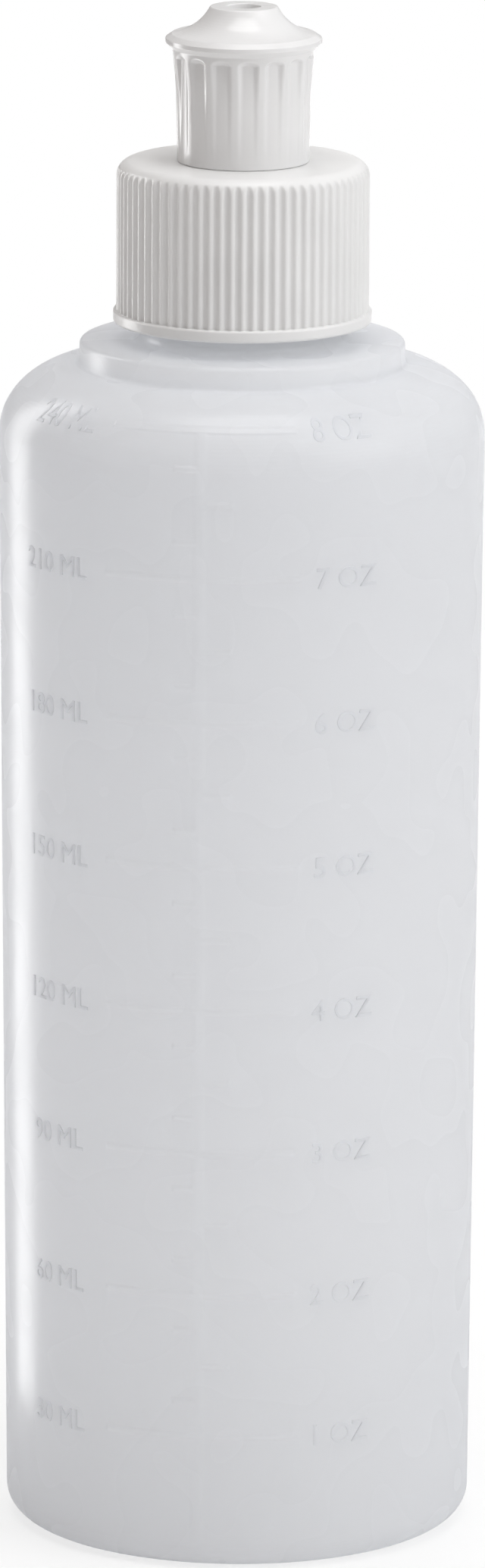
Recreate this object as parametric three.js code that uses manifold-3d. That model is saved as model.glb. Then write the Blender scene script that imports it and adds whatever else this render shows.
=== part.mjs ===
// Peri bottle: a squeeze bottle with a screw cap and a push-pull spout.
// Millimetres, +Z up, the origin at the middle of the base. The front is -Y.
import * as THREE from 'three'
import * as BufferGeometryUtils from 'three/addons/utils/BufferGeometryUtils.js'
import Module from 'manifold-3d'

const wasm = await Module()
wasm.setup()

// Bottle body
const bodyHeight = 117.0 // base to the start of the shoulder
const bodyTopRadius = 25.4
const bodyFootRadius = 24.6 // the body has a slight draft
const bottleWall = 0.9
const baseThickness = 1.3
const baseCornerRadius = 2.9
const pushUpRadius = 18.0 // the hollow under the base, inside the standing ring
const pushUpHeight = 1.6
const shoulderReach = 8.6 // how far the shoulder curves in
const shoulderRise = 7.3 // how far it curves up
const shoulderSweep = 88 // degrees of its arc, which ends just short of level

// Ring step on top of the shoulder
const ringRadius = 17.0
const ringRise = 2.45 // top of the shoulder to the top of the ring
const ringEdgeRadius = 0.5

// Neck and its thread
const neckHeight = 16.25 // ring top to lip
const neckRadius = 10.75 // at the root of the thread
const neckBoreRadius = 9.2
const neckFillet = 0.9
const lipRadius = 0.4
const threadPitch = 3.175
const threadTurns = 1.5
const threadDepth = 1.1
const threadRootWidth = 1.9
const threadCrestWidth = 0.9
const threadBelowLip = 3.0 // lip to the middle of the highest turn
const threadStart = 35 // degrees round from the front
const threadRunOut = 30 // degrees over which each end of a thread fades
const threadEndShare = 0.1 // of its full depth, which a thread has at its ends

// Scale moulded on the body
const ounceMarks = 8
const ounceStep = 15.28
const topMarkRise = 4.5 // start of the shoulder to the top mark
const markCentre = -9.8 // degrees round from the front, where the upright rule stands
const markHeight = 0.3 // how far a line stands proud
const markWidth = 0.6
const ruleWidth = 1.0
const ruleOverrun = 10.0 // the rule goes on below the lowest mark
const longMarkSweep = 23.5 // degrees to each side of the rule
const halfMarkSweep = 7.5
const quarterMarkSweep = 6.0

// Cap
const capSkirtGap = 1.95 // ring top to the foot of the skirt
const capRadius = 13.2
const capEdgeRadius = 1.5
const capDeck = 1.4
const beadRadius = 13.53
const beadHeight = 1.3
const beadEdgeRadius = 0.3
const ribCount = 72
const ribDepth = 0.4
const ribCrestShare = 0.42 // of one rib's pitch
const ribFlankShare = 0.17

// Post in the cap, which carries the spout
const postRadius = 4.5
const postWall = 1.2
const postHeight = 11.6 // above the deck
const postEdge = 0.4
const sealRadius = 5.0 // sealing bead round the post
const sealHeight = 1.0
const sealFlank = 0.3 // height of each of the bead's sloping sides
const pinRadius = 1.4
const pinHeight = 4.1 // above the post
const pinEdge = 0.7
const bridgeWidth = 1.3
const bridgeDepth = 1.6

// Washer in the cap
const washerThickness = 0.8
const washerInset = 0.4 // it reaches this far inside the neck's bore

// Spout
const spoutTravel = 4.5
const spoutFootRadius = 6.9
const spoutWaistRadius = 7.05
const spoutWaistHeight = 7.0 // above the spout's foot
const spoutNeckRadius = 7.45 // just under the flange
const spoutHollow = 0.03 // how far the side above the waist bends inwards
const flangeUnderside = 11.7 // above the spout's foot
const flangeRadius = 8.15
const flangeBevel = 0.6
const flangeBand = 0.45
const flangeTopRise = 0.45 // from the band to the foot of the cone
const flangeTopRadius = 7.5
const coneRise = 2.85 // from there to the tip
const coneHollow = 0.62 // how far the cone's side bends inwards
const coneSteps = 6
const tipRadius = 3.5
const spoutEdge = 0.25 // the small bevel at its foot and round its tip
const fluteCount = 16
const fluteFloor = 6.9 // the flutes' floor lies this far from the axis
const fluteWidth = 1.9
const fluteTopBelowFlange = 0.8
const fluteArch = 0.55
const fluteStart = 3.85 // degrees round from the front, where a flute's middle lies
const stopLipHeight = 1.2
const boreTop = 11.6 // above the spout's foot
const innerConeRise = 1.6
const orificeRadius = 1.73

// Clearances
const runningGap = 0.3 // between pieces that slide or turn
const seatGap = 0.2 // between pieces that rest on each other

// Fineness of round shapes
const bottleSegments = 48
const capSegments = 48
const spoutSegments = 48
const postSegments = 24
const threadStep = 10 // degrees
const arcStep = 30 // degrees of a profile's arc per segment
const sink = 0.45 // how deep a joined shape starts inside the wall
const cutMargin = 1 // how far a cut goes on past the face that it opens

// Sizes and levels that follow from those above
const ringTop = bodyHeight + shoulderRise + ringRise
const lipLevel = ringTop + neckHeight
const skirtFoot = ringTop + capSkirtGap
const washerLevel = lipLevel + seatGap
const deckUnderside = washerLevel + washerThickness + seatGap
const deckTop = deckUnderside + capDeck
const spoutFoot = deckTop + seatGap
const capBoreRadius = neckRadius + threadDepth + runningGap
const spoutBoreRadius = sealRadius + runningGap
const stopLipRadius = postRadius + runningGap
const sealLevel = spoutFoot + stopLipHeight + spoutTravel + runningGap
const postTop = deckTop + postHeight
const postBoreRadius = postRadius - postWall
const tipLevel = spoutFoot + flangeUnderside + flangeBevel + flangeBand + flangeTopRise + coneRise

const radians = THREE.MathUtils.degToRad

// Points of a profile, each [radius, height]
function arc(centreRadius, centreHeight, reach, rise, from, to) {
  const steps = Math.max(2, Math.round(Math.abs(to - from) / arcStep))
  const points = []
  for (let i = 0; i <= steps; i++) {
    const angle = radians(from + ((to - from) * i) / steps)
    points.push([centreRadius + reach * Math.cos(angle), centreHeight + rise * Math.sin(angle)])
  }
  return points
}

// A closed mesh with merged corners, as a solid for booleans
function solid(geometry) {
  const plain = geometry.clone()
  plain.deleteAttribute('normal')
  plain.deleteAttribute('uv')
  const merged = BufferGeometryUtils.mergeVertices(plain, 1e-5)
  const index = merged.index.array
  const triangles = []
  for (let i = 0; i < index.length; i += 3) {
    const [a, b, c] = [index[i], index[i + 1], index[i + 2]]
    if (a !== b && b !== c && c !== a) triangles.push(a, b, c)
  }
  return new wasm.Manifold(
    new wasm.Mesh({
      numProp: 3,
      vertProperties: new Float32Array(merged.attributes.position.array),
      triVerts: new Uint32Array(triangles),
    }),
  )
}

// A solid turned about Z. The profile runs anticlockwise, with the radius to the right.
function turned(profile, segments) {
  const points = profile.map(([radius, height]) => new THREE.Vector2(radius, height))
  return solid(new THREE.LatheGeometry(points, segments).rotateX(Math.PI / 2))
}

// A closed ring profile, turned about Z
function turnedRing(profile, segments) {
  return turned([...profile, profile[0]], segments)
}

// A flat shape in X and Y, raised from one height to another
function raised(shape, bottom, top, curveSegments = 12) {
  const depth = top - bottom
  const geometry = new THREE.ExtrudeGeometry(shape, { depth, bevelEnabled: false, curveSegments })
  return solid(geometry.translate(0, 0, bottom))
}

// A block that stands on a radius, its width across it, turned round from the front
function radialShape(shape, width, degrees) {
  const geometry = new THREE.ExtrudeGeometry(shape, { depth: width, bevelEnabled: false, curveSegments: 6 })
  geometry.translate(0, 0, -width / 2)
  geometry.rotateX(Math.PI / 2)
  geometry.rotateZ(radians(degrees - 90))
  return solid(geometry)
}

// A thread's ridge: a trapezoid swept along a right-hand helix, fading at both ends.
// side is 1 for a ridge that stands out from its wall, -1 for one that stands in.
function threadRidge(wallRadius, side, firstLevel) {
  const sweep = 360 * threadTurns
  const steps = Math.round(sweep / threadStep)
  const sections = []
  for (let i = 0; i <= steps; i++) {
    const along = (sweep * i) / steps
    const full = Math.min(1, threadEndShare + Math.min(along, sweep - along) / threadRunOut)
    const angle = radians(threadStart + along)
    const level = firstLevel + (threadPitch * along) / 360
    const foot = wallRadius - side * sink
    const crest = wallRadius + side * threadDepth * full
    const halfFoot = ((threadRootWidth / 2) * (1 + full)) / 2
    const halfCrest = ((threadCrestWidth / 2) * (1 + full)) / 2
    const section = [
      [foot, -halfFoot],
      [crest, -halfCrest],
      [crest, halfCrest],
      [foot, halfFoot],
    ]
    const place = ([radius, offset]) => [radius * Math.sin(angle), -radius * Math.cos(angle), level + offset]
    sections.push(section.map(place))
  }
  const corners = sections[0].length
  const quads = []
  for (let i = 0; i < steps; i++) {
    for (let k = 0; k < corners; k++) {
      const a = i * corners + k
      const b = i * corners + ((k + 1) % corners)
      quads.push([a, a + corners, b + corners, b])
    }
  }
  const last = steps * corners
  quads.push([0, 1, 2, 3])
  quads.push([last + 3, last + 2, last + 1, last])
  const index = []
  for (const [a, b, c, d] of quads) {
    if (side > 0) index.push(a, b, c, a, c, d)
    else index.push(a, c, b, a, d, c)
  }
  const geometry = new THREE.BufferGeometry()
  geometry.setAttribute('position', new THREE.Float32BufferAttribute(sections.flat(2), 3))
  geometry.setIndex(index)
  return solid(geometry)
}

// The outside of the body at a height, up to the top of the shoulder
function bodyRadiusAt(height) {
  if (height <= bodyHeight) return bodyFootRadius + ((bodyTopRadius - bodyFootRadius) * height) / bodyHeight
  const up = Math.min(1, (height - bodyHeight) / shoulderRise)
  return bodyTopRadius - shoulderReach + shoulderReach * Math.sqrt(1 - up * up)
}

function bottleShell() {
  const shoulderCentre = bodyTopRadius - shoulderReach
  const cornerCentre = bodyFootRadius - baseCornerRadius
  const innerCorner = baseCornerRadius - bottleWall
  const outside = [
    ...arc(0, 0, pushUpRadius, pushUpHeight, 90, 0),
    ...arc(cornerCentre, baseCornerRadius, baseCornerRadius, baseCornerRadius, -90, 0),
    ...arc(shoulderCentre, bodyHeight, shoulderReach, shoulderRise, 0, shoulderSweep),
    [ringRadius, ringTop - ringEdgeRadius],
    [ringRadius - ringEdgeRadius, ringTop],
    ...arc(neckRadius + neckFillet, ringTop + neckFillet, neckFillet, neckFillet, -90, -180),
    [neckRadius, lipLevel - lipRadius],
    [neckRadius - lipRadius, lipLevel],
  ]
  const inside = [
    [neckBoreRadius, lipLevel],
    [neckBoreRadius, ringTop - bottleWall + neckFillet],
    [neckBoreRadius + neckFillet, ringTop - bottleWall],
    [ringRadius - bottleWall, ringTop - bottleWall],
    [ringRadius - bottleWall, bodyHeight + shoulderRise - bottleWall],
    ...arc(shoulderCentre, bodyHeight, shoulderReach - bottleWall, shoulderRise - bottleWall, shoulderSweep, 0),
    ...arc(cornerCentre, baseCornerRadius, innerCorner, baseCornerRadius - baseThickness, 0, -90),
    ...arc(0, baseThickness, pushUpRadius, pushUpHeight, 0, 90),
  ]
  return turned([...outside, ...inside], bottleSegments)
}

// One line of the scale, from one angle to another round from the front
function scaleLine(level, from, to) {
  const radius = bodyRadiusAt(level)
  const [start, end] = [radians(from - 90), radians(to - 90)]
  const shape = new THREE.Shape()
  shape.absarc(0, 0, radius + markHeight, start, end, false)
  shape.absarc(0, 0, radius - sink, end, start, true)
  const facets = Math.ceil((to - from) / (360 / bottleSegments))
  return raised(shape, level - markWidth / 2, level + markWidth / 2, facets)
}

// The upright rule, which follows the body's side and the start of the shoulder
function scaleRule(bottom, top) {
  const outer = []
  for (const height of [bottom, bodyHeight, (bodyHeight + top) / 2, top]) outer.push([bodyRadiusAt(height), height])
  const shape = new THREE.Shape()
  outer.forEach(([radius, height], i) => {
    if (i === 0) shape.moveTo(radius + markHeight, height)
    else shape.lineTo(radius + markHeight, height)
  })
  outer.reverse().forEach(([radius, height]) => shape.lineTo(radius - sink, height))
  return radialShape(shape, ruleWidth, markCentre)
}

function bottle() {
  const topMark = bodyHeight + topMarkRise
  const lowestMark = topMark - ounceStep * (ounceMarks - 1)
  let body = bottleShell().add(scaleRule(lowestMark - ruleOverrun, topMark))
  for (let ounce = 1; ounce <= ounceMarks; ounce++) {
    const level = topMark - ounceStep * (ounceMarks - ounce)
    body = body.add(scaleLine(level, markCentre - longMarkSweep, markCentre + longMarkSweep))
    if (ounce === ounceMarks) continue
    body = body.add(scaleLine(level + ounceStep / 2, markCentre, markCentre + halfMarkSweep))
    for (const part of [0.25, 0.75]) {
      body = body.add(scaleLine(level + ounceStep * part, markCentre - quarterMarkSweep, markCentre))
    }
  }
  const firstTurn = lipLevel - threadBelowLip - threadPitch * threadTurns
  return body.add(threadRidge(neckRadius, 1, firstTurn))
}

// The ribbed outline of the cap's skirt
function ribbedOutline() {
  const pitch = 360 / ribCount
  const corners = [
    [-ribCrestShare / 2, capRadius],
    [ribCrestShare / 2, capRadius],
    [ribCrestShare / 2 + ribFlankShare, capRadius - ribDepth],
    [1 - ribCrestShare / 2 - ribFlankShare, capRadius - ribDepth],
  ]
  const shape = new THREE.Shape()
  for (let rib = 0; rib < ribCount; rib++) {
    corners.forEach(([share, radius], k) => {
      const angle = radians(-90 + (rib + 0.5 + share) * pitch)
      const point = [radius * Math.cos(angle), radius * Math.sin(angle)]
      if (rib === 0 && k === 0) shape.moveTo(...point)
      else shape.lineTo(...point)
    })
  }
  return shape
}

function capSkirt() {
  const ribs = raised(ribbedOutline(), skirtFoot + beadHeight / 2, deckTop)
  const rounded = turned(
    [
      [0, skirtFoot],
      [beadRadius, skirtFoot],
      [beadRadius, deckTop - capEdgeRadius - beadRadius + capRadius],
      ...arc(capRadius - capEdgeRadius, deckTop - capEdgeRadius, capEdgeRadius, capEdgeRadius, 0, 90),
      [0, deckTop],
    ],
    capSegments,
  )
  const bead = turned(
    [
      [0, skirtFoot],
      [beadRadius - beadEdgeRadius, skirtFoot],
      [beadRadius, skirtFoot + beadEdgeRadius],
      [beadRadius, skirtFoot + beadHeight - beadEdgeRadius],
      [beadRadius - beadEdgeRadius, skirtFoot + beadHeight],
      [0, skirtFoot + beadHeight],
    ],
    capSegments,
  )
  const bore = turned(
    [
      [0, skirtFoot - cutMargin],
      [capBoreRadius, skirtFoot - cutMargin],
      [capBoreRadius, deckUnderside],
      [0, deckUnderside],
    ],
    capSegments,
  )
  return ribs.intersect(rounded).add(bead).subtract(bore)
}

function capPost() {
  const tube = turnedRing(
    [
      [postBoreRadius, deckTop - sink],
      [postRadius, deckTop - sink],
      [postRadius, sealLevel],
      [sealRadius, sealLevel + sealFlank],
      [sealRadius, sealLevel + sealHeight - sealFlank],
      [postRadius, sealLevel + sealHeight],
      [postRadius, postTop - postEdge],
      [postRadius - postEdge, postTop],
      [postBoreRadius, postTop],
    ],
    postSegments,
  )
  const pin = turned(
    [
      [0, postTop - bridgeDepth],
      [pinRadius, postTop - bridgeDepth],
      [pinRadius, postTop + pinHeight - pinEdge],
      [pinRadius - pinEdge, postTop + pinHeight],
      [0, postTop + pinHeight],
    ],
    postSegments,
  )
  const length = 2 * postBoreRadius + postWall
  let post = tube.add(pin)
  for (const size of [
    [length, bridgeWidth],
    [bridgeWidth, length],
  ]) {
    const bar = new THREE.BoxGeometry(...size, bridgeDepth)
    post = post.add(solid(bar.translate(0, 0, postTop - bridgeDepth / 2)))
  }
  return post
}

// The cap's thread runs half a pitch below the neck's
function cap() {
  const way = turned(
    [
      [0, deckUnderside - cutMargin],
      [postBoreRadius, deckUnderside - cutMargin],
      [postBoreRadius, deckTop + cutMargin],
      [0, deckTop + cutMargin],
    ],
    postSegments,
  )
  const firstTurn = lipLevel - threadBelowLip - threadPitch * (threadTurns + 0.5)
  return capSkirt().subtract(way).add(capPost()).add(threadRidge(capBoreRadius, -1, firstTurn))
}

function washer() {
  const inner = neckBoreRadius - washerInset
  const outer = capBoreRadius - runningGap
  return turnedRing(
    [
      [inner, washerLevel],
      [outer, washerLevel],
      [outer, washerLevel + washerThickness],
      [inner, washerLevel + washerThickness],
    ],
    capSegments,
  )
}

// The cone's side from the flange to the tip, bent inwards
function coneSide(fromLevel) {
  const points = []
  for (let i = 1; i < coneSteps; i++) {
    const share = i / coneSteps
    const bend = 4 * share * (1 - share) * coneHollow
    const slope = Math.hypot(coneRise, flangeTopRadius - tipRadius)
    const radius = flangeTopRadius + (tipRadius - flangeTopRadius) * share - (bend * coneRise) / slope
    const level = fromLevel + coneRise * share - (bend * (flangeTopRadius - tipRadius)) / slope
    points.push([radius, level])
  }
  return points
}

function flute(degrees) {
  const bottom = spoutFoot - cutMargin
  const top = spoutFoot + flangeUnderside - fluteTopBelowFlange
  const half = fluteWidth / 2
  const shape = new THREE.Shape()
  shape.moveTo(-half, bottom)
  shape.lineTo(half, bottom)
  shape.lineTo(half, top - fluteArch)
  shape.absellipse(0, top - fluteArch, half, fluteArch, 0, Math.PI, false)
  const depth = flangeRadius - fluteFloor
  const geometry = new THREE.ExtrudeGeometry(shape, { depth, bevelEnabled: false, curveSegments: 6 })
  geometry.rotateX(Math.PI / 2)
  geometry.translate(0, -fluteFloor, 0)
  geometry.rotateZ(radians(degrees))
  return solid(geometry)
}

function spout() {
  const underside = spoutFoot + flangeUnderside
  const bandFoot = underside + flangeBevel
  const bandTop = bandFoot + flangeBand
  const coneFoot = bandTop + flangeTopRise
  const outside = [
    [spoutFootRadius - spoutEdge, spoutFoot],
    [spoutFootRadius, spoutFoot + spoutEdge],
    [spoutWaistRadius, spoutFoot + spoutWaistHeight],
    [(spoutWaistRadius + spoutNeckRadius) / 2 - spoutHollow, (spoutFoot + spoutWaistHeight + underside) / 2],
    [spoutNeckRadius, underside],
    [flangeRadius, bandFoot],
    [flangeRadius, bandTop],
    [flangeTopRadius, coneFoot],
    ...coneSide(coneFoot),
    [tipRadius, tipLevel - spoutEdge],
    [tipRadius - spoutEdge, tipLevel],
  ]
  const inside = [
    [orificeRadius, tipLevel],
    [orificeRadius, spoutFoot + boreTop + innerConeRise],
    [spoutBoreRadius, spoutFoot + boreTop],
    [spoutBoreRadius, spoutFoot + stopLipHeight],
    [stopLipRadius, spoutFoot + stopLipHeight],
    [stopLipRadius, spoutFoot],
  ]
  let nozzle = turnedRing([...outside, ...inside], spoutSegments)
  for (let i = 0; i < fluteCount; i++) {
    nozzle = nozzle.subtract(flute(fluteStart + (360 * i) / fluteCount))
  }
  return nozzle
}

// A named mesh from a solid
function piece(name, shape, material) {
  const mesh = shape.getMesh()
  const geometry = new THREE.BufferGeometry()
  const corners = new Float32Array(mesh.vertProperties)
  geometry.setAttribute('position', new THREE.Float32BufferAttribute(corners, 3))
  geometry.setIndex([...mesh.triVerts])
  geometry.computeVertexNormals()
  const made = new THREE.Mesh(geometry, material)
  made.name = name
  return made
}

const milkyPlastic = new THREE.MeshStandardMaterial({
  color: 0xd9dce0,
  roughness: 0.4,
  metalness: 0,
  transparent: true,
  opacity: 0.75,
})
const whitePlastic = new THREE.MeshStandardMaterial({ color: 0xf0f0ee, roughness: 0.3, metalness: 0 })
const foam = new THREE.MeshStandardMaterial({ color: 0xf4f4f2, roughness: 0.9, metalness: 0 })

const group = new THREE.Group()
group.add(piece('bottle', bottle(), milkyPlastic))
group.add(piece('cap', cap(), whitePlastic))
group.add(piece('washer', washer(), foam))
group.add(piece('spout', spout(), whitePlastic))

export default group
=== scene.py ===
"""Looks of the peri bottle: fine meshes, plastics, floor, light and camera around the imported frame."""

import math

import bpy
import numpy as np
from mathutils import Matrix, Vector


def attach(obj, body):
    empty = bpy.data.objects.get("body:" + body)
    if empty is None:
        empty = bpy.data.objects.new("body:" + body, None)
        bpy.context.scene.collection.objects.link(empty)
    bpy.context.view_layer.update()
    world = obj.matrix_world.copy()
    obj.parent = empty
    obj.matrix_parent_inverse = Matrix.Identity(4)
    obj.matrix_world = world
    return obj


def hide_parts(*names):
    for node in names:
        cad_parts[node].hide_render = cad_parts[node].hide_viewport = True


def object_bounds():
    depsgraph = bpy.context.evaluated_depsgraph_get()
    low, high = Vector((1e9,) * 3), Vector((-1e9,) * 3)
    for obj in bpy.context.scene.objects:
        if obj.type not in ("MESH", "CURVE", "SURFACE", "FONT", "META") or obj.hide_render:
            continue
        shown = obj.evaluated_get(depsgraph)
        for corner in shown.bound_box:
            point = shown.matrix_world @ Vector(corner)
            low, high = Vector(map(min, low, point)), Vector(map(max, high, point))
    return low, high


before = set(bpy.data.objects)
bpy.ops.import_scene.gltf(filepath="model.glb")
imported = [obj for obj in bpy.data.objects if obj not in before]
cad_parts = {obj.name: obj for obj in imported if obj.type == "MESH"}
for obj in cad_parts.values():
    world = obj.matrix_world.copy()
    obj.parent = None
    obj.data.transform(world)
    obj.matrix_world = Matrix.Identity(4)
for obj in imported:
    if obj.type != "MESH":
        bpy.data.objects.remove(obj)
cad_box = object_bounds()

MM = 0.001

# Sizes of the moulded pieces, in millimetres, as the CAD has them but for finer edges and reliefs
BODY_HEIGHT = 117.0
BODY_TOP_RADIUS = 25.4
BODY_FOOT_RADIUS = 24.6
BOTTLE_WALL = 0.9
BASE_THICKNESS = 1.3
BASE_CORNER = 2.9
PUSH_UP_RADIUS = 18.0
PUSH_UP_HEIGHT = 1.6
PUSH_UP_SLOPE = 2.4  # width of its slanted rim
PUSH_UP_DIP = 0.5
PUSH_UP_FILLET = 3.0
STANDING_EDGE = 0.9
SHOULDER_REACH = 8.6
SHOULDER_RISE = 7.3
SHOULDER_SWEEP = 88
SHOULDER_DRAWN = 80  # degrees of its curve, before the fillet at the ring's foot
SHOULDER_FILLET = 0.45
RING_RADIUS = 17.0
RING_TOP = 126.75
RING_EDGE = 0.5
NECK_RADIUS = 10.75
NECK_BORE = 9.2
NECK_FILLET = 0.9
LIP_LEVEL = 143.0
LIP_EDGE = 0.4
THREAD_PITCH = 3.175
THREAD_TURNS = 1.5
THREAD_DEPTH = 1.1
THREAD_ROOT_WIDTH = 1.9
THREAD_CREST_WIDTH = 0.9
THREAD_BELOW_LIP = 3.0
THREAD_START = 35
THREAD_RUN_OUT = 30
THREAD_STEP = 4  # degrees between its cross sections
THREAD_POINTS = 9  # across its crest
THREAD_SINK = 0.1
THREAD_ROOT = 0.4  # its root lies this deep in the wall

# Volume scale on the body
OUNCE_MARKS = 8
MILLILITRES_PER_MARK = 30
OUNCE_STEP = 15.28
TOP_MARK = 121.5
MARK_CENTRE = -9.8
MARK_HEIGHT = 0.14
MARK_WIDTH = 0.7
RULE_WIDTH = 1.2
RULE_OVERRUN = 10.0
LONG_MARK = 23.5
HALF_MARK = 7.5
QUARTER_MARK = 6.0
RULE_SHARE = 0.85  # the rule's height as a share of the lines' height
NUMERAL_RELIEF = 0.09
NUMERAL_HEIGHT = 2.2
NUMERAL_DROP = 0.2
OUNCES_ASIDE = 35.3
MILLILITRES_ASIDE = 40.0
CAPITAL_SHARE = 0.7  # height of a capital as a share of the font's size
BODY_COLUMNS = 216
FIRST_ROW = 6
ROW_STEP = 8

SKIRT_FOOT = 128.7
DECK_TOP = 145.6
DECK_UNDERSIDE = 144.2
CAP_RADIUS = 13.2
CAP_EDGE = 1.5
CAP_BORE = 12.15
BEAD_RADIUS = 13.53
BEAD_HEIGHT = 1.3
BEAD_EDGE = 0.3
RIB_COUNT = 72
RIB_DEPTH = 0.32
RIB_FLANK = (0.28, 0.72)
RIB_COLUMNS = 8
POST_RADIUS = 4.5
POST_BORE = 3.3
POST_TOP = 157.2
SEAL_RADIUS = 5.0
SEAL_LEVEL = 151.8
SEAL_HEIGHT = 1.0
PIN_RADIUS = 1.4
PIN_TOP = 161.3
BRIDGE_WIDTH = 1.3
BRIDGE_DEPTH = 1.6

WASHER_INNER = 8.8
WASHER_OUTER = 11.85
WASHER_FOOT = 143.2
WASHER_TOP = 144.0
WASHER_EDGE = 0.12

SPOUT_FOOT = 145.63
SPOUT_FOOT_RADIUS = 6.9
SPOUT_WAIST_RADIUS = 7.05
SPOUT_WAIST = 152.8
SPOUT_NECK_RADIUS = 7.45
FLANGE_UNDERSIDE = 157.5
FLANGE_RADIUS = 8.15
FLANGE_BEVEL = 0.6
FLANGE_BAND = 0.45
FLANGE_TOP_RISE = 0.45
FLANGE_TOP_RADIUS = 7.5
CONE_RISE = 2.85
CONE_HOLLOW = 0.62
TIP_RADIUS = 3.5
TIP_EDGE = 0.25
FLUTE_COUNT = 16
FLUTE_FLOOR = 6.9
FLUTE_WIDTH = 1.9
FLUTE_TOP = 156.95
FLUTE_ARCH = 0.55
FLUTE_START = 3.85
FLUTE_FLANK = (0.62, 1.12)
FLUTE_END = (0.35, 0.25)
FLUTE_COLUMNS = 20
STOP_LIP_TOP = 147.0
STOP_LIP_RADIUS = 4.8
SPOUT_BORE = 5.3
SPOUT_BORE_TOP = 157.4
INNER_CONE_TOP = 159.0
ORIFICE_RADIUS = 1.73

ARC_STEPS = 6  # segments of a small rounded corner
SUPPORT = 0.08  # a row this far from each corner keeps flat faces flat when shaded smooth


def smooth_step(low, high, value):
    share = np.clip((value - low) / (high - low), 0, 1)
    return share * share * (3 - 2 * share)


# Profiles, as arrays of (radius, height) in millimetres


def ellipse_points(centre_radius, centre_height, reach, rise, start, end, steps):
    """Points along part of an ellipse, its angles in degrees."""
    angles = np.radians(np.linspace(start, end, steps + 1))
    return [(centre_radius + reach * math.cos(a), centre_height + rise * math.sin(a), 0) for a in angles]


def rounded(corners, closed=False):
    """A profile through corners (radius, height, fillet), with each fillet drawn as an arc."""
    points = []
    count = len(corners)
    for i, (radius, height, fillet) in enumerate(corners):
        here = np.array([radius, height], float)
        if fillet == 0 or (not closed and i in (0, count - 1)):
            points.append(here)
            continue
        before = np.array(corners[i - 1][:2], float) - here
        after = np.array(corners[(i + 1) % count][:2], float) - here
        before /= np.linalg.norm(before)
        after /= np.linalg.norm(after)
        half = math.acos(float(np.clip(before @ after, -1, 1))) / 2
        middle = before + after
        centre = here + middle / np.linalg.norm(middle) * fillet / math.sin(half)
        start = here + before * fillet / math.tan(half) - centre
        end = here + after * fillet / math.tan(half) - centre
        sweep = math.atan2(start[0] * end[1] - start[1] * end[0], start @ end)
        for k in range(ARC_STEPS + 1):
            turn = sweep * k / ARC_STEPS
            cos, sin = math.cos(turn), math.sin(turn)
            points.append(centre + [start[0] * cos - start[1] * sin, start[0] * sin + start[1] * cos])
    if closed:
        points.append(points[0])
    return supported(np.array(points))


def supported(points):
    """The same profile with a row close to each end of its long straight stretches."""
    out = [points[0]]
    for start, end in zip(points[:-1], points[1:]):
        length = float(np.linalg.norm(end - start))
        if length > 4 * SUPPORT:
            out.append(start + (end - start) * SUPPORT / length)
            out.append(end - (end - start) * SUPPORT / length)
        if length > 1e-6:
            out.append(end)
    return np.array(out)


def with_rows(points, levels):
    """Rows added to a profile where it passes the given heights going up."""
    out = [points[0]]
    for start, end in zip(points[:-1], points[1:]):
        if end[1] > start[1]:
            for level in sorted(levels):
                if start[1] + 1e-4 < level < end[1] - 1e-4:
                    out.append(start + (end - start) * (level - start[1]) / (end[1] - start[1]))
        out.append(end)
    return np.array(out)


# Meshes


def mesh_object(name, vertices, faces):
    mesh = bpy.data.meshes.new(name)
    mesh.from_pydata([tuple(v) for v in vertices], [], [tuple(f) for f in faces])
    mesh.validate()
    mesh.shade_smooth()
    obj = bpy.data.objects.new(name, mesh)
    bpy.context.scene.collection.objects.link(obj)
    return obj


def turned(name, profile, angles, shape=None):
    """A solid turned about Z. shape(radius, height, angle) may change each row's radius.

    The profile runs anticlockwise, from the axis to the axis or closed on itself.
    """
    columns = len(angles)
    poles = profile[0][0] < 1e-6
    rows = profile[1:-1] if poles else profile[:-1]
    radius = np.repeat(rows[:, :1], columns, axis=1)
    height = np.repeat(rows[:, 1:], columns, axis=1)
    around = np.repeat(np.radians(angles)[None, :], len(rows), axis=0)
    if shape:
        radius = shape(radius, height, np.degrees(around))
    grid = np.stack([radius * np.sin(around), -radius * np.cos(around), height], -1)
    vertices = list(grid.reshape(-1, 3) * MM)
    faces = []
    for i in range(len(rows) - 1 if poles else len(rows)):
        above = (i + 1) % len(rows)
        for j in range(columns):
            right = (j + 1) % columns
            low, high = i * columns, above * columns
            faces.append((low + j, low + right, high + right, high + j))
    if poles:
        first = len(vertices)
        vertices.append(np.array([0, 0, profile[0][1]]) * MM)
        vertices.append(np.array([0, 0, profile[-1][1]]) * MM)
        last = (len(rows) - 1) * columns
        for j in range(columns):
            right = (j + 1) % columns
            faces.append((first, right, j))
            faces.append((first + 1, last + j, last + right))
    return mesh_object(name, vertices, faces)


def even_angles(count):
    return np.arange(count) * 360.0 / count


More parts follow.
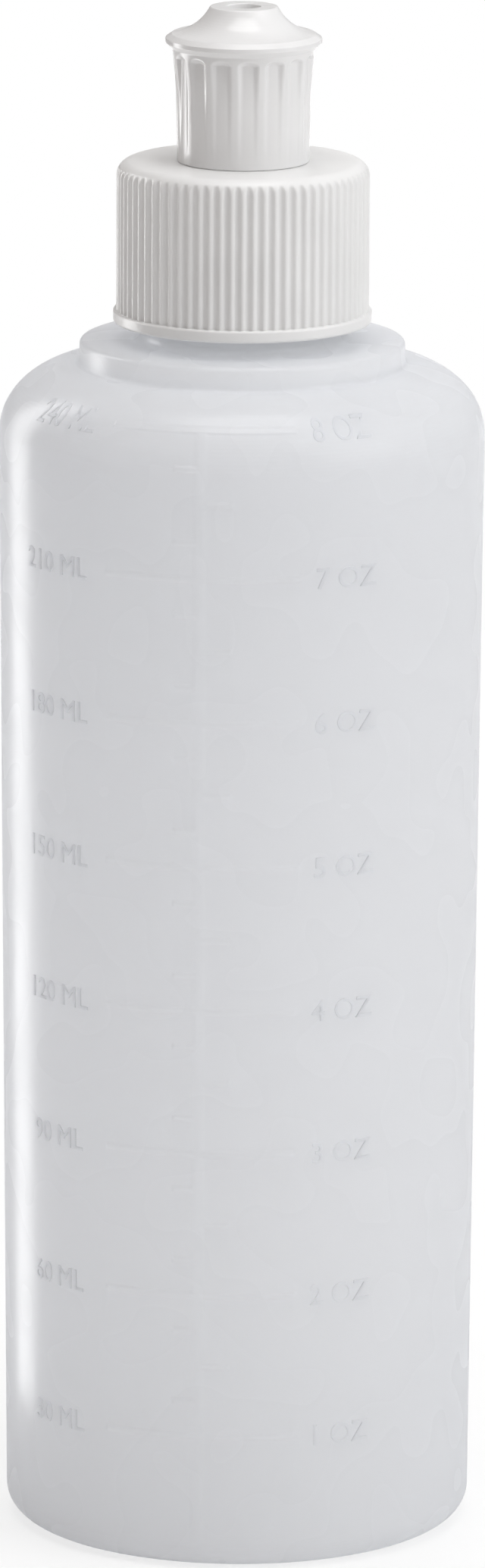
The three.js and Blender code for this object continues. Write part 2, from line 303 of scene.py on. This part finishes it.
def thread_ridge(name, wall_radius, side, first_level):
    """A rounded helical ridge that fades at both ends. side is 1 outwards, -1 inwards."""
    sweep = 360 * THREAD_TURNS
    steps = int(sweep / THREAD_STEP)
    across = np.linspace(-1, 1, THREAD_POINTS)
    vertices = []
    for i in range(steps + 1):
        along = sweep * i / steps
        full = min(1.0, 0.1 + min(along, sweep - along) / THREAD_RUN_OUT)
        angle = math.radians(THREAD_START + along)
        middle = first_level + THREAD_PITCH * along / 360
        half = THREAD_ROOT_WIDTH / 2 * (1 + full) / 2
        section = []
        for share in across:
            crest = 1 - smooth_step(THREAD_CREST_WIDTH / THREAD_ROOT_WIDTH, 1, abs(share))
            section.append((wall_radius + side * (THREAD_DEPTH * full * crest - THREAD_SINK), share))
        for share in (1, -1):
            section.append((wall_radius - side * THREAD_ROOT, share))
        for radius, share in section:
            level = middle + share * half
            vertices.append((radius * math.sin(angle), -radius * math.cos(angle), level))
    size = len(across) + 2
    faces = []
    for i in range(steps):
        for k in range(size):
            a, b = i * size + k, i * size + (k + 1) % size
            faces.append((a, a + size, b + size, b)[::side])
    faces.append(tuple(range(size))[::side])
    faces.append(tuple(steps * size + k for k in reversed(range(size)))[::side])
    return mesh_object(name, np.array(vertices) * MM, faces)


# The bottle


def body_radius(height):
    """The outside of the body at a height, up to the top of the shoulder."""
    side = BODY_FOOT_RADIUS + (BODY_TOP_RADIUS - BODY_FOOT_RADIUS) * height / BODY_HEIGHT
    up = np.clip((height - BODY_HEIGHT) / SHOULDER_RISE, 0, 1)
    shoulder = BODY_TOP_RADIUS - SHOULDER_REACH * (1 - np.sqrt(1 - up * up))
    return np.where(height <= BODY_HEIGHT, side, shoulder)


def scale_marks():
    """Each line of the scale, as (level, first angle, last angle)."""
    marks = []
    for ounce in range(1, OUNCE_MARKS + 1):
        level = TOP_MARK - OUNCE_STEP * (OUNCE_MARKS - ounce)
        marks.append((level, MARK_CENTRE - LONG_MARK, MARK_CENTRE + LONG_MARK))
        if ounce < OUNCE_MARKS:
            marks.append((level + OUNCE_STEP / 2, MARK_CENTRE, MARK_CENTRE + HALF_MARK))
            for part in (0.25, 0.75):
                marks.append((level + OUNCE_STEP * part, MARK_CENTRE - QUARTER_MARK, MARK_CENTRE))
    return marks


def bottle_profile():
    push_up_rim = PUSH_UP_RADIUS - PUSH_UP_SLOPE
    corner_centre = BODY_FOOT_RADIUS - BASE_CORNER
    shoulder_centre = BODY_TOP_RADIUS - SHOULDER_REACH
    rise = SHOULDER_RISE - BOTTLE_WALL
    reach = SHOULDER_REACH - BOTTLE_WALL
    shoulder_top = SHOULDER_REACH * math.cos(math.radians(SHOULDER_SWEEP))
    corners = [
        (0, PUSH_UP_HEIGHT, 0),
        (push_up_rim, PUSH_UP_HEIGHT - PUSH_UP_DIP, PUSH_UP_FILLET),
        (PUSH_UP_RADIUS, 0, STANDING_EDGE),
        *ellipse_points(corner_centre, BASE_CORNER, BASE_CORNER, BASE_CORNER, -90, 0, 12),
        *ellipse_points(
            shoulder_centre, BODY_HEIGHT, SHOULDER_REACH, SHOULDER_RISE, 0, SHOULDER_DRAWN, 24
        ),
        (shoulder_centre + shoulder_top, BODY_HEIGHT + SHOULDER_RISE, SHOULDER_FILLET),
        (RING_RADIUS, RING_TOP, RING_EDGE),
        (NECK_RADIUS, RING_TOP, NECK_FILLET),
        (NECK_RADIUS, LIP_LEVEL, LIP_EDGE),
        (NECK_BORE, LIP_LEVEL, 0.3),
        (NECK_BORE, RING_TOP - BOTTLE_WALL, NECK_FILLET),
        (RING_RADIUS - BOTTLE_WALL, RING_TOP - BOTTLE_WALL, 0.5),
        (RING_RADIUS - BOTTLE_WALL, BODY_HEIGHT + rise, 0.3),
        *ellipse_points(shoulder_centre, BODY_HEIGHT, reach, rise, SHOULDER_DRAWN, 0, 20),
        *ellipse_points(
            corner_centre, BASE_CORNER, BASE_CORNER - BOTTLE_WALL, BASE_CORNER - BASE_THICKNESS, 0, -90, 8
        ),
        (PUSH_UP_RADIUS, BASE_THICKNESS, STANDING_EDGE),
        (push_up_rim, PUSH_UP_HEIGHT + BASE_THICKNESS - PUSH_UP_DIP, PUSH_UP_FILLET),
        (0, PUSH_UP_HEIGHT + BASE_THICKNESS, 0),
    ]
    return rounded(corners)


def bottle_rows(marks):
    """Heights at which the body's outside needs a row, close together across each line."""
    half = MARK_WIDTH / 2
    across = (-half - 0.12, -half, -half / 2, 0, half / 2, half, half + 0.12)
    levels = [level + offset for level, _, _ in marks for offset in across]
    return levels + list(np.arange(FIRST_ROW, BODY_HEIGHT, ROW_STEP))


def bottle_angles():
    """Columns round the body, close together at the rule and at the lines' ends."""
    half = math.degrees(RULE_WIDTH / 2 / BODY_TOP_RADIUS)
    fine = [-1.5, -1.1, -0.8, -0.4, 0, 0.4, 0.8, 1.1, 1.5]
    angles = [MARK_CENTRE + half * share for share in fine]
    for end in (-LONG_MARK, LONG_MARK, HALF_MARK, -QUARTER_MARK):
        angles += [MARK_CENTRE + end + offset for offset in (-0.6, -0.3, 0, 0.3)]
    gap = 0.25
    for angle in even_angles(BODY_COLUMNS):
        angle = angle - 360 if angle > 180 else angle
        if min(abs(angle - other) for other in angles) > gap:
            angles.append(angle)
    return np.array(sorted(angles))


def embossed(marks):
    """A shape for turned() that raises the scale's lines and rule out of the body."""
    half = MARK_WIDTH / 2
    rule_half = RULE_WIDTH / 2
    rule_foot = marks[0][0] - RULE_OVERRUN

    def raise_lines(radius, height, angle):
        angle = np.where(angle > 180, angle - 360, angle)
        raised = np.zeros_like(radius)
        for level, first, last in marks:
            line = 1 - smooth_step(half * 0.45, half + 0.1, np.abs(height - level))
            begun = smooth_step(first - 0.5, first + 0.2, angle)
            ended = smooth_step(last - 0.2, last + 0.5, angle)
            raised = np.maximum(raised, line * (begun * (1 - ended)))
        aside = np.abs(angle - MARK_CENTRE) * math.pi / 180 * radius
        rule = 1 - smooth_step(rule_half * 0.35, rule_half * 1.4, aside)
        rule = rule * smooth_step(rule_foot, rule_foot + 0.5, height) * (height < TOP_MARK + half)
        raised = np.maximum(raised, rule * RULE_SHARE)
        outside = np.abs(radius - body_radius(height)) < 0.05
        return radius + MARK_HEIGHT * raised * outside

    return raise_lines


def numeral(text, level, angle):
    """Raised lettering wrapped round the body, centred on an angle, as a mesh object."""
    curve = bpy.data.curves.new("numeral", "FONT")
    curve.body = text
    curve.size = NUMERAL_HEIGHT / CAPITAL_SHARE
    curve.align_x = "CENTER"
    curve.align_y = "CENTER"
    curve.extrude = NUMERAL_RELIEF / 2
    curve.bevel_depth = NUMERAL_RELIEF / 2
    curve.bevel_resolution = 2
    curve.offset = -NUMERAL_RELIEF / 4
    curve.resolution_u = 4
    flat = bpy.data.objects.new("numeral", curve)
    bpy.context.scene.collection.objects.link(flat)
    bpy.context.view_layer.update()
    mesh = bpy.data.meshes.new_from_object(flat.evaluated_get(bpy.context.evaluated_depsgraph_get()))
    bpy.data.objects.remove(flat)
    places = np.array([v.co for v in mesh.vertices])
    around = math.radians(angle) + places[:, 0] / BODY_TOP_RADIUS
    heights = level + places[:, 1]
    radius = body_radius(heights) + places[:, 2]
    wrapped = np.stack([radius * np.sin(around), -radius * np.cos(around), heights], -1) * MM
    mesh.vertices.foreach_set("co", wrapped.ravel())
    mesh.update()
    made = bpy.data.objects.new("numeral", mesh)
    bpy.context.scene.collection.objects.link(made)
    return made


def joined(name, objects):
    bpy.ops.object.select_all(action="DESELECT")
    for obj in objects:
        obj.select_set(True)
    bpy.context.view_layer.objects.active = objects[0]
    bpy.ops.object.join()
    objects[0].name = name
    objects[0].data.name = name
    return objects[0]


def make_bottle():
    marks = scale_marks()
    profile = with_rows(bottle_profile(), bottle_rows(marks))
    skin = turned("bottle_skin", profile, bottle_angles(), embossed(marks))
    first_turn = LIP_LEVEL - THREAD_BELOW_LIP - THREAD_PITCH * THREAD_TURNS
    thread = thread_ridge("bottle_thread", NECK_RADIUS, 1, first_turn)
    numerals = []
    for ounce in range(1, OUNCE_MARKS + 1):
        level = TOP_MARK - OUNCE_STEP * (OUNCE_MARKS - ounce) - NUMERAL_DROP
        numerals.append(numeral(f"{ounce} OZ", level, MARK_CENTRE + OUNCES_ASIDE))
        millilitres = ounce * MILLILITRES_PER_MARK
        numerals.append(numeral(f"{millilitres} ML", level, MARK_CENTRE - MILLILITRES_ASIDE))
    return skin, thread, joined("bottle_numerals", numerals)


# The cap


def ribbed(radius, height, angle):
    """A shape for turned() that cuts the grooves between the cap's ribs."""
    pitch = 360 / RIB_COUNT
    across = np.abs((angle / pitch) % 1 - 0.5) * 2
    crest = smooth_step(*RIB_FLANK, across)
    floor = CAP_RADIUS - RIB_DEPTH
    grooved = floor + RIB_DEPTH * crest
    skirt = (height > SKIRT_FOOT + BEAD_HEIGHT - 0.05) & (radius > floor - 0.05)
    return np.where(skirt, np.minimum(radius, grooved), radius)


def make_cap():
    outer = rounded(
        [
            (CAP_BORE, SKIRT_FOOT, 0.15),
            (BEAD_RADIUS, SKIRT_FOOT, BEAD_EDGE),
            (BEAD_RADIUS, SKIRT_FOOT + BEAD_HEIGHT, BEAD_EDGE),
            (CAP_RADIUS, SKIRT_FOOT + BEAD_HEIGHT + 0.02, 0.0),
            *ellipse_points(CAP_RADIUS - CAP_EDGE, DECK_TOP - CAP_EDGE, CAP_EDGE, CAP_EDGE, 0, 90, 14),
            (POST_RADIUS, DECK_TOP, 0.4),
            (POST_RADIUS, SEAL_LEVEL, 0),
            (SEAL_RADIUS, SEAL_LEVEL + SEAL_HEIGHT * 0.35, 0.2),
            (SEAL_RADIUS, SEAL_LEVEL + SEAL_HEIGHT * 0.65, 0.2),
            (POST_RADIUS, SEAL_LEVEL + SEAL_HEIGHT, 0),
            (POST_RADIUS, POST_TOP, 0.4),
            (POST_BORE, POST_TOP, 0.2),
            (POST_BORE, DECK_UNDERSIDE, 0.2),
            (CAP_BORE, DECK_UNDERSIDE, 0.4),
        ],
        closed=True,
    )
    shell = turned("cap_shell", outer, even_angles(RIB_COUNT * RIB_COLUMNS), ribbed)
    first_turn = LIP_LEVEL - THREAD_BELOW_LIP - THREAD_PITCH * (THREAD_TURNS + 0.5)
    thread = thread_ridge("cap_thread", CAP_BORE, -1, first_turn)
    pin = turned(
        "cap_pin",
        rounded(
            [
                (0, POST_TOP - BRIDGE_DEPTH, 0),
                (PIN_RADIUS, POST_TOP - BRIDGE_DEPTH, 0.1),
                (PIN_RADIUS, PIN_TOP, 0.5),
                (0, PIN_TOP, 0),
            ]
        ),
        even_angles(48),
    )
    return shell, thread, joined("cap_pin", [pin, bridge_bar(0), bridge_bar(90)])


def bridge_bar(degrees):
    """One bar of the cross that carries the pin, with rounded edges."""
    length = 2 * POST_BORE + 0.8
    bpy.ops.mesh.primitive_cube_add(size=1)
    bar = bpy.context.object
    bar.name = "bridge_bar"
    bar.data.transform(Matrix.Diagonal((length * MM, BRIDGE_WIDTH * MM, BRIDGE_DEPTH * MM, 1)))
    bar.data.transform(Matrix.Rotation(math.radians(degrees), 4, "Z"))
    bar.data.transform(Matrix.Translation((0, 0, (POST_TOP - BRIDGE_DEPTH / 2 - 0.1) * MM)))
    bevel = bar.modifiers.new("bevel", "BEVEL")
    bevel.width = 0.2 * MM
    bevel.segments = 3
    bpy.ops.object.modifier_apply(modifier="bevel")
    bar.data.shade_smooth()
    return bar


def make_washer():
    corners = [
        (WASHER_INNER, WASHER_FOOT, WASHER_EDGE),
        (WASHER_OUTER, WASHER_FOOT, WASHER_EDGE),
        (WASHER_OUTER, WASHER_TOP, WASHER_EDGE),
        (WASHER_INNER, WASHER_TOP, WASHER_EDGE),
    ]
    return turned("washer_ring", rounded(corners, closed=True), even_angles(96))


# The spout


def fluted(radius, height, angle):
    """A shape for turned() that cuts the shallow flutes, which end in an arch under the flange."""
    pitch = 360 / FLUTE_COUNT
    aside = np.abs(((angle - FLUTE_START) / pitch + 0.5) % 1 - 0.5) * pitch * math.pi / 180 * FLUTE_FLOOR
    half = FLUTE_WIDTH / 2
    arch = FLUTE_TOP - FLUTE_ARCH * (1 - np.sqrt(np.clip(1 - (aside / half) ** 2, 0, 1)))
    wall = smooth_step(half * FLUTE_FLANK[0], half * FLUTE_FLANK[1], aside)
    end = smooth_step(arch - FLUTE_END[0], arch + FLUTE_END[1], height)
    depth = np.maximum(wall, end)
    outside = (radius > SPOUT_BORE + 0.6) & (height < FLANGE_UNDERSIDE) & (height > SPOUT_FOOT + TIP_EDGE)
    cut = np.minimum(radius, FLUTE_FLOOR + (radius - FLUTE_FLOOR) * depth)
    return np.where(outside & (radius > FLUTE_FLOOR), cut, radius)


def cone_side(level):
    """The hollow side of the cone, from the flange to the tip."""
    points = []
    drop = FLANGE_TOP_RADIUS - TIP_RADIUS
    slope = math.hypot(CONE_RISE, drop)
    for share in np.linspace(0, 1, 15)[1:-1]:
        bend = 4 * share * (1 - share) * CONE_HOLLOW
        radius = FLANGE_TOP_RADIUS - drop * share - bend * CONE_RISE / slope
        points.append((radius, level + CONE_RISE * share - bend * drop / slope, 0))
    return points


def make_spout():
    band_foot = FLANGE_UNDERSIDE + FLANGE_BEVEL
    band_top = band_foot + FLANGE_BAND
    cone_foot = band_top + FLANGE_TOP_RISE
    tip = cone_foot + CONE_RISE
    middle = (SPOUT_WAIST + FLANGE_UNDERSIDE) / 2
    corners = [
        (STOP_LIP_RADIUS, SPOUT_FOOT, 0.2),
        (SPOUT_FOOT_RADIUS, SPOUT_FOOT, 0.12),
        (SPOUT_WAIST_RADIUS, SPOUT_WAIST, 0),
        ((SPOUT_WAIST_RADIUS + SPOUT_NECK_RADIUS) / 2 - 0.03, middle, 0),
        (SPOUT_NECK_RADIUS, FLANGE_UNDERSIDE, 0.15),
        (FLANGE_RADIUS, band_foot, 0.1),
        (FLANGE_RADIUS, band_top, 0.1),
        (FLANGE_TOP_RADIUS, cone_foot, 0.3),
        *cone_side(cone_foot),
        (TIP_RADIUS, tip, 0.22),
        (ORIFICE_RADIUS, tip, 0.12),
        (ORIFICE_RADIUS, INNER_CONE_TOP, 0.1),
        (SPOUT_BORE, SPOUT_BORE_TOP, 0.1),
        (SPOUT_BORE, STOP_LIP_TOP, 0.15),
        (STOP_LIP_RADIUS, STOP_LIP_TOP, 0.15),
    ]
    profile = rounded(corners, closed=True)
    levels = list(np.arange(SPOUT_FOOT + 0.6, FLUTE_TOP - 1.4, 0.5))
    levels += list(np.arange(FLUTE_TOP - 1.3, FLANGE_UNDERSIDE - 0.2, 0.08))
    angles = even_angles(FLUTE_COUNT * FLUTE_COLUMNS)
    return turned("spout_nozzle", with_rows(profile, levels), angles, fluted)


# Materials


class Nodes:
    """A short way to build one material's nodes."""

    def __init__(self, name):
        self.material = bpy.data.materials.new(name)
        self.material.use_nodes = True
        self.tree = self.material.node_tree
        self.tree.nodes.clear()
        self.shader = self.add("ShaderNodeBsdfPrincipled")
        self.output = self.add("ShaderNodeOutputMaterial")
        self.link(self.shader.outputs["BSDF"], self.output.inputs["Surface"])

    def add(self, kind, **settings):
        node = self.tree.nodes.new(kind)
        for key, value in settings.items():
            setattr(node, key, value)
        return node

    def link(self, output, socket):
        self.tree.links.new(output, socket)

    def set(self, **values):
        for key, value in values.items():
            self.shader.inputs[key.replace("_", " ")].default_value = value

    def noise(self, scale, detail=0, stretch=(1, 1, 1)):
        """Noise in the object's own space, with cells of about 1 / scale metres."""
        place = self.add("ShaderNodeTexCoord")
        mapping = self.add("ShaderNodeMapping")
        mapping.inputs["Scale"].default_value = stretch
        texture = self.add("ShaderNodeTexNoise")
        texture.inputs["Scale"].default_value = scale
        texture.inputs["Detail"].default_value = detail
        self.link(place.outputs["Object"], mapping.inputs["Vector"])
        self.link(mapping.outputs["Vector"], texture.inputs["Vector"])
        return texture.outputs["Fac"]

    def ramp(self, value, low, high, start=0.3, end=0.7):
        """A colour or number that runs from low to high as value runs from start to end."""
        ramp = self.add("ShaderNodeValToRGB")
        ramp.color_ramp.elements[0].position = start
        ramp.color_ramp.elements[1].position = end
        ramp.color_ramp.elements[0].color = (*low, 1)
        ramp.color_ramp.elements[1].color = (*high, 1)
        self.link(value, ramp.inputs["Fac"])
        return ramp.outputs["Color"]

    def range(self, value, low, high):
        span = self.add("ShaderNodeMapRange")
        span.inputs["From Min"].default_value = 0.3
        span.inputs["From Max"].default_value = 0.7
        span.inputs["To Min"].default_value = low
        span.inputs["To Max"].default_value = high
        self.link(value, span.inputs["Value"])
        return span.outputs["Result"]

    def bump(self, *layers):
        """Bump from several heights, each (value, depth in metres)."""
        normal = None
        for value, depth in layers:
            bump = self.add("ShaderNodeBump")
            bump.inputs["Strength"].default_value = 1.0
            bump.inputs["Distance"].default_value = depth
            self.link(value, bump.inputs["Height"])
            if normal is not None:
                self.link(normal, bump.inputs["Normal"])
            normal = bump.outputs["Normal"]
        self.link(normal, self.shader.inputs["Normal"])

    def pass_light(self, colour, share):
        """Lets a share of the light through the wall, diffused, as milky plastic does."""
        through = self.add("ShaderNodeBsdfTranslucent")
        self.link(colour, through.inputs["Color"])
        mix = self.add("ShaderNodeMixShader")
        mix.inputs["Fac"].default_value = share
        self.link(self.shader.outputs["BSDF"], mix.inputs[1])
        self.link(through.outputs["BSDF"], mix.inputs[2])
        self.link(mix.outputs["Shader"], self.output.inputs["Surface"])


def milky_plastic(name, light_share):
    """Natural polyethylene, blow-moulded: milky, softly glossy, slightly wavy and cloudy.

    light_share is how much of the light passes through instead of coming back.
    """
    nodes = Nodes(name)
    cloud = nodes.noise(24, 0, (1, 1, 0.45))
    colour = nodes.ramp(cloud, (0.944, 0.951, 0.962), (0.952, 0.958, 0.967), 0.2, 0.8)
    nodes.link(colour, nodes.shader.inputs["Base Color"])
    nodes.link(nodes.range(nodes.noise(160, 0), 0.24, 0.30), nodes.shader.inputs["Roughness"])
    nodes.set(IOR=1.51, Specular_IOR_Level=0.9)
    nodes.bump((nodes.noise(55, 0, (1, 1, 0.5)), 0.00018), (nodes.noise(1400, 0), 0.000005))
    nodes.pass_light(colour, light_share)
    return nodes.material


def white_plastic(name, roughness, tint):
    """White polypropylene: nearly opaque, glossy, with a fine moulded skin."""
    nodes = Nodes(name)
    darker = tuple(channel * 0.975 for channel in tint)
    colour = nodes.ramp(nodes.noise(220, 0), darker, tint)
    nodes.link(colour, nodes.shader.inputs["Base Color"])
    spread = nodes.range(nodes.noise(500, 0), roughness - 0.04, roughness + 0.05)
    nodes.link(spread, nodes.shader.inputs["Roughness"])
    nodes.set(IOR=1.49)
    nodes.bump((nodes.noise(300, 0), 0.00002), (nodes.noise(2600, 0), 0.000003))
    nodes.pass_light(colour, 0.12)
    return nodes.material


def foam_plastic():
    """Foamed polyethylene of the sealing washer, with small cells in its skin."""
    nodes = Nodes("foam_plastic")
    cells = nodes.noise(2200, 3.0)
    nodes.link(nodes.ramp(cells, (0.78, 0.78, 0.76), (0.88, 0.88, 0.86)), nodes.shader.inputs["Base Color"])
    nodes.set(Roughness=0.8, IOR=1.45)
    nodes.bump((cells, 0.00004))
    return nodes.material


# Floor, world, lights and camera

WHITE = 1.0
SHADOW_REACH = (0.10, 0.45)  # metres from the object over which the floor turns plain white
SHADOW_SHARE = 0.3
LEFT_SKY = (0.24, 0.212, 0.197)
RIGHT_SKY = (0.385, 0.385, 0.39)
LIGHT_TARGET = 0.09  # metres up the bottle's axis


def add_floor():
    """A pale floor that shows the object's shadow near it and is plain white further off."""
    bpy.ops.mesh.primitive_plane_add(size=8, location=(0, 0, cad_box[0][2]))
    floor = bpy.context.object
    floor.name = "floor"
    nodes = Nodes("pale_floor")
    colour = nodes.ramp(nodes.noise(30, 2.0), (0.93, 0.93, 0.93), (0.95, 0.95, 0.95))
    nodes.link(colour, nodes.shader.inputs["Base Color"])
    nodes.set(Roughness=0.85)
    place = nodes.add("ShaderNodeTexCoord")
    away = nodes.add("ShaderNodeVectorMath", operation="LENGTH")
    nodes.link(place.outputs["Object"], away.inputs[0])
    plain = nodes.add("ShaderNodeMapRange")
    plain.inputs["From Min"].default_value = SHADOW_REACH[0]
    plain.inputs["From Max"].default_value = SHADOW_REACH[1]
    plain.inputs["To Min"].default_value = 1 - SHADOW_SHARE
    nodes.link(away.outputs["Value"], plain.inputs["Value"])
    share = nodes.add("ShaderNodeMath", operation="MULTIPLY")
    rays = nodes.add("ShaderNodeLightPath")
    nodes.link(rays.outputs["Is Camera Ray"], share.inputs[0])
    nodes.link(plain.outputs["Result"], share.inputs[1])
    glow = nodes.add("ShaderNodeEmission")
    glow.inputs["Strength"].default_value = WHITE
    mix = nodes.add("ShaderNodeMixShader")
    nodes.link(share.outputs[0], mix.inputs["Fac"])
    nodes.link(nodes.shader.outputs["BSDF"], mix.inputs[1])
    nodes.link(glow.outputs["Emission"], mix.inputs[2])
    nodes.link(mix.outputs["Shader"], nodes.output.inputs["Surface"])
    floor.data.materials.append(nodes.material)


def add_world():
    """Plain light all round, a little weaker and warmer from the left; white to the camera."""
    world = bpy.data.worlds.new("studio")
    bpy.context.scene.world = world
    world.use_nodes = True
    tree = world.node_tree
    tree.nodes.clear()
    way = tree.nodes.new("ShaderNodeTexCoord")
    split = tree.nodes.new("ShaderNodeSeparateXYZ")
    tree.links.new(way.outputs["Generated"], split.inputs["Vector"])
    side = tree.nodes.new("ShaderNodeMapRange")
    side.inputs["From Min"].default_value = -0.8
    side.inputs["From Max"].default_value = 0.8
    tree.links.new(split.outputs["X"], side.inputs["Value"])
    sky = tree.nodes.new("ShaderNodeMix")
    sky.data_type = "RGBA"
    sky.inputs["A"].default_value = (*LEFT_SKY, 1)
    sky.inputs["B"].default_value = (*RIGHT_SKY, 1)
    tree.links.new(side.outputs["Result"], sky.inputs["Factor"])
    shown = tree.nodes.new("ShaderNodeMix")
    shown.data_type = "RGBA"
    shown.inputs["B"].default_value = (WHITE, WHITE, WHITE, 1)
    rays = tree.nodes.new("ShaderNodeLightPath")
    tree.links.new(rays.outputs["Is Camera Ray"], shown.inputs["Factor"])
    tree.links.new(sky.outputs["Result"], shown.inputs["A"])
    background = tree.nodes.new("ShaderNodeBackground")
    tree.links.new(shown.outputs["Result"], background.inputs["Color"])
    output = tree.nodes.new("ShaderNodeOutputWorld")
    tree.links.new(background.outputs["Background"], output.inputs["Surface"])


def softbox(name, azimuth, elevation, distance, width, height, share):
    """A soft light. share is the brightness that it alone gives a white face turned to it.

    azimuth is in degrees from the camera's side, positive to the right.
    """
    target = Vector((0, 0, LIGHT_TARGET))
    turn, lift = math.radians(azimuth), math.radians(elevation)
    way = Vector((math.sin(turn) * math.cos(lift), -math.cos(turn) * math.cos(lift), math.sin(lift)))
    light = bpy.data.lights.new(name, "AREA")
    light.shape = "RECTANGLE"
    light.size = width
    light.size_y = height
    light.energy = share * math.pi**2 * distance**2
    lamp = bpy.data.objects.new(name, light)
    lamp.visible_camera = False
    bpy.context.scene.collection.objects.link(lamp)
    lamp.location = target + way * distance
    lamp.rotation_euler = (-way).to_track_quat("-Z", "Y").to_euler()
    return lamp


def add_lights():
    softbox("key_right", 62, 32, 1.0, 0.7, 0.9, 0.41)
    softbox("overhead", 10, 82, 0.9, 0.6, 0.6, 0.54)
    # It stands close, for the long gleam down the left side, and adds no other light
    softbox("strip_left", -109.5, 0, 0.06, 0.019, 0.178, 2.4).visible_diffuse = False
    # It lights the milky walls from behind, and would mirror as a glare on each level face
    softbox("back_panel", 178, 5, 0.9, 0.9, 0.9, 1.06).visible_glossy = False


# Fitted to the photograph's outline
CAMERA_DISTANCE = 1.1393
CAMERA_HEIGHT = 0.3385
CAMERA_ASIDE = 0.00024
CAMERA_PITCH = 12.83
CAMERA_ROLL = 0.279
FOCAL_PIXELS = 14622.0
PHOTO_HEIGHT = 2069
SENSOR = 36.0


def add_camera():
    data = bpy.data.cameras.new("camera")
    data.sensor_fit = "VERTICAL"
    data.sensor_height = SENSOR
    data.lens = FOCAL_PIXELS / PHOTO_HEIGHT * SENSOR
    camera = bpy.data.objects.new("camera", data)
    bpy.context.scene.collection.objects.link(camera)
    place = Matrix.Translation((CAMERA_ASIDE, -CAMERA_DISTANCE, CAMERA_HEIGHT))
    tilt = Matrix.Rotation(math.radians(90 - CAMERA_PITCH), 4, "X")
    roll = Matrix.Rotation(math.radians(CAMERA_ROLL), 4, "Z")
    camera.matrix_world = place @ tilt @ roll
    bpy.context.scene.camera = camera


def dress(obj, material, body, slot, *nodes):
    """Gives a piece its material and its body, and hides the CAD nodes that it stands for. The slot
    argument is not used.
    """
    obj.data.materials.clear()
    obj.data.materials.append(material)
    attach(obj, body)
    if nodes:
        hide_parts(*nodes)


add_camera()
add_world()
add_floor()
add_lights()

milky = milky_plastic("milky_plastic", 0.72)
milky_relief = milky_plastic("milky_relief", 0.86)
cap_white = white_plastic("cap_white", 0.33, (0.93, 0.93, 0.925))
spout_white = white_plastic("spout_white", 0.22, (0.93, 0.93, 0.93))

bottle_skin, bottle_thread, bottle_numerals = make_bottle()
dress(bottle_skin, milky, "bottle_body", "bottle_plastic", "bottle")
dress(bottle_thread, milky, "bottle_body", "bottle_plastic")
dress(bottle_numerals, milky_relief, "bottle_body", "bottle_plastic")

cap_shell, cap_thread, cap_pin = make_cap()
dress(cap_shell, cap_white, "cap_body", "cap_plastic", "cap")
dress(cap_thread, cap_white, "cap_body", "cap_plastic")
dress(cap_pin, cap_white, "cap_body", "cap_plastic")

dress(make_washer(), foam_plastic(), "washer_body", "washer_foam", "washer")
dress(make_spout(), spout_white, "spout_body", "spout_plastic", "spout")

bpy.context.scene.view_settings.view_transform = "Standard"
